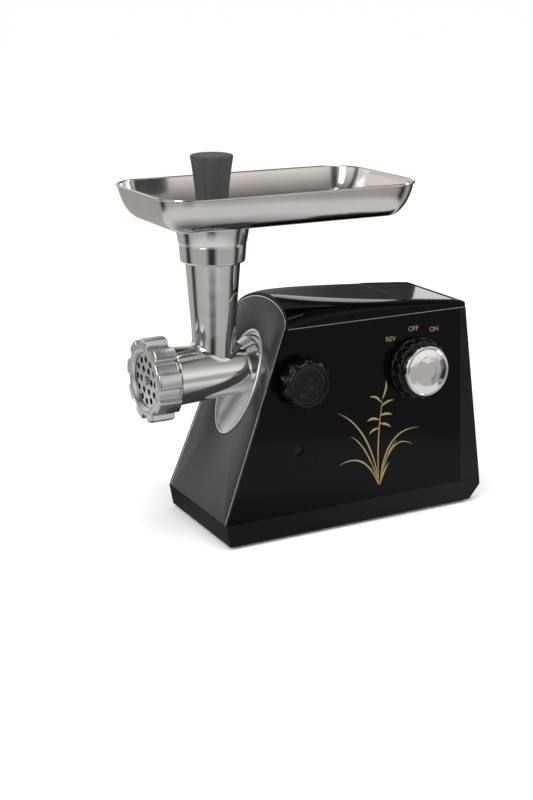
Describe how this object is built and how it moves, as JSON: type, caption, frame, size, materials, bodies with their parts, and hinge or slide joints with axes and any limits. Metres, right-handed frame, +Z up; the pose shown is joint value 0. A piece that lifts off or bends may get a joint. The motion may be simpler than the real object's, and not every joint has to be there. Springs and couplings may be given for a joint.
{
  "type": "electric meat grinder",
  "caption": "Countertop electric meat grinder: motor housing with geared drive, removable mincing head, tray and pusher.",
  "frame": {"origin": "bottom centre of the bounding box, on the table under the feet", "axes": "+Z up, +X from the mincing head back to the motor along the barrel, -Y towards the side with the dial and the clamp knob"},
  "size_m": [0.3344, 0.1512, 0.3508],
  "materials": {
    "black_gloss_body": "piano-black gloss",
    "black_satin_plastic": "satin black",
    "fascia_grey": "satin metallic grey",
    "polished_aluminium": "mirror polished casting",
    "satin_aluminium": "satin casting",
    "stainless_sheet": "bright pressed stainless sheet",
    "dark_steel": "ground steel",
    "chrome_cap": "mirror chrome",
    "charcoal_plastic": "matt charcoal",
    "foot_rubber": "soft black rubber",
    "white_nylon": "natural nylon",
    "brass_parts": "turned brass",
    "copper_winding": "enamelled copper",
    "circuit_board": "green laminate"
  },
  "bodies": {
    "housing": {"right_side_panel": "black_gloss_body", "left_side_panel": "black_gloss_body", "top_cover": "black_gloss_body", "base_pan": "black_satin_plastic", "screw_plug": "black_satin_plastic", "rear_cover": "black_satin_plastic", "cord_gland": "black_satin_plastic", "motor_cradle": "black_satin_plastic", "motor_rear_bracket": "black_satin_plastic", "suppressor_capacitor": "black_satin_plastic", "selector_switch": "black_satin_plastic", "fascia": "fascia_grey", "socket_dish": "satin_aluminium", "gearbox_case": "satin_aluminium", "gearbox_cover": "satin_aluminium", "base_screw_front_right": "dark_steel", "base_screw_front_left": "dark_steel", "base_screw_rear_right": "dark_steel", "base_screw_rear_left": "dark_steel", "second_shaft": "dark_steel", "first_shaft": "dark_steel", "gearbox_screw_1": "dark_steel", "gearbox_screw_2": "dark_steel", "gearbox_screw_3": "dark_steel", "gearbox_screw_4": "dark_steel", "front_bearing": "dark_steel", "rear_bearing": "dark_steel", "field_stack": "dark_steel", "foot_front_right": "foot_rubber", "foot_front_left": "foot_rubber", "foot_rear_right": "foot_rubber", "foot_rear_left": "foot_rubber", "brush_holder_left": "brass_parts", "brush_holder_right": "brass_parts", "clamp_bush": "brass_parts", "upper_field_coil": "copper_winding", "lower_field_coil": "copper_winding", "control_board": "circuit_board"},
    "rotor": {"motor_shaft": "dark_steel", "armature": "dark_steel", "commutator": "copper_winding", "cooling_fan": "black_satin_plastic"},
    "first_wheel": {"first_gear": "white_nylon"},
    "second_wheel": {"second_gear": "white_nylon"},
    "output": {"drive_socket": "dark_steel", "output_gear": "white_nylon"},
    "head": {"mincing_head": "polished_aluminium"},
    "auger": {"auger": "satin_aluminium", "auger_washer": "white_nylon", "cutting_knife": "dark_steel"},
    "plate": {"cutting_plate": "stainless_sheet"},
    "ring": {"ring_nut": "satin_aluminium"},
    "tray": {"tray": "stainless_sheet"},
    "pusher": {"pusher": "charcoal_plastic"},
    "dial": {"dial_grip": "black_satin_plastic", "dial_cap": "chrome_cap"},
    "clamp_pad": {"clamp_pad": "brass_parts"},
    "clamp": {"clamp_screw": "dark_steel", "clamp_knob": "black_satin_plastic"}
  },
  "joints": [
    {"name": "motor_spin", "type": "hinge", "parent": "housing", "child": "rotor", "pos_m": [0.06801, 0.00338, 0.07473], "axis": [1, 0, 0], "continuous": true},
    {"name": "first_gear_spin", "type": "hinge", "parent": "housing", "child": "first_wheel", "pos_m": [0.01301, -0.00862, 0.10002], "axis": [1, 0, 0], "continuous": true},
    {"name": "second_gear_spin", "type": "hinge", "parent": "housing", "child": "second_wheel", "pos_m": [0.00401, 0.02138, 0.11252], "axis": [1, 0, 0], "continuous": true},
    {"name": "output_spin", "type": "hinge", "parent": "housing", "child": "output", "pos_m": [-0.00799, 0.00338, 0.1524], "axis": [1, 0, 0], "continuous": true},
    {"name": "head_slide", "type": "slide", "parent": "housing", "child": "head", "axis": [-1, 0, 0], "range_m": [0, 0.08]},
    {"name": "auger_spin", "type": "hinge", "parent": "head", "child": "auger", "pos_m": [-0.09399, 0.00338, 0.1524], "axis": [1, 0, 0], "continuous": true},
    {"name": "plate_slide", "type": "slide", "parent": "head", "child": "plate", "axis": [-1, 0, 0], "range_m": [0, 0.018]},
    {"name": "ring_turn", "type": "hinge", "parent": "plate", "child": "ring", "pos_m": [-0.15399, 0.00338, 0.1524], "axis": [-1, 0, 0], "range_deg": [0, 3240]},
    {"name": "tray_lift", "type": "slide", "parent": "head", "child": "tray", "axis": [0, 0, 1], "range_m": [0, 0.1]},
    {"name": "pusher_slide", "type": "slide", "parent": "tray", "child": "pusher", "axis": [0, 0, 1], "range_m": [0, 0.17]},
    {"name": "dial_turn", "type": "hinge", "parent": "housing", "child": "dial", "pos_m": [0.09151, -0.05187, 0.145], "axis": [0, -0.9977, 0.068], "range_deg": [-40, 40]},
    {"name": "clamp_pad_slide", "type": "slide", "parent": "housing", "child": "clamp_pad", "axis": [0, -1, 0], "range_m": [0, 0.004]},
    {"name": "clamp_turn", "type": "hinge", "parent": "clamp_pad", "child": "clamp", "pos_m": [-0.03399, -0.05163, 0.1485], "axis": [0, -1, 0], "range_deg": [0, 960]}
  ],
  "couplings": [
    {"joint": "first_gear_spin", "follows": "motor_spin", "ratio": -0.21739},
    {"joint": "second_gear_spin", "follows": "motor_spin", "ratio": 0.05176},
    {"joint": "output_spin", "follows": "motor_spin", "ratio": -0.01294},
    {"joint": "auger_spin", "follows": "motor_spin", "ratio": -0.01294},
    {"joint": "plate_slide", "follows": "ring_turn", "m_per_rad": 0.00031831},
    {"joint": "clamp_pad_slide", "follows": "clamp_turn", "m_per_rad": 0.00023873}
  ]
}
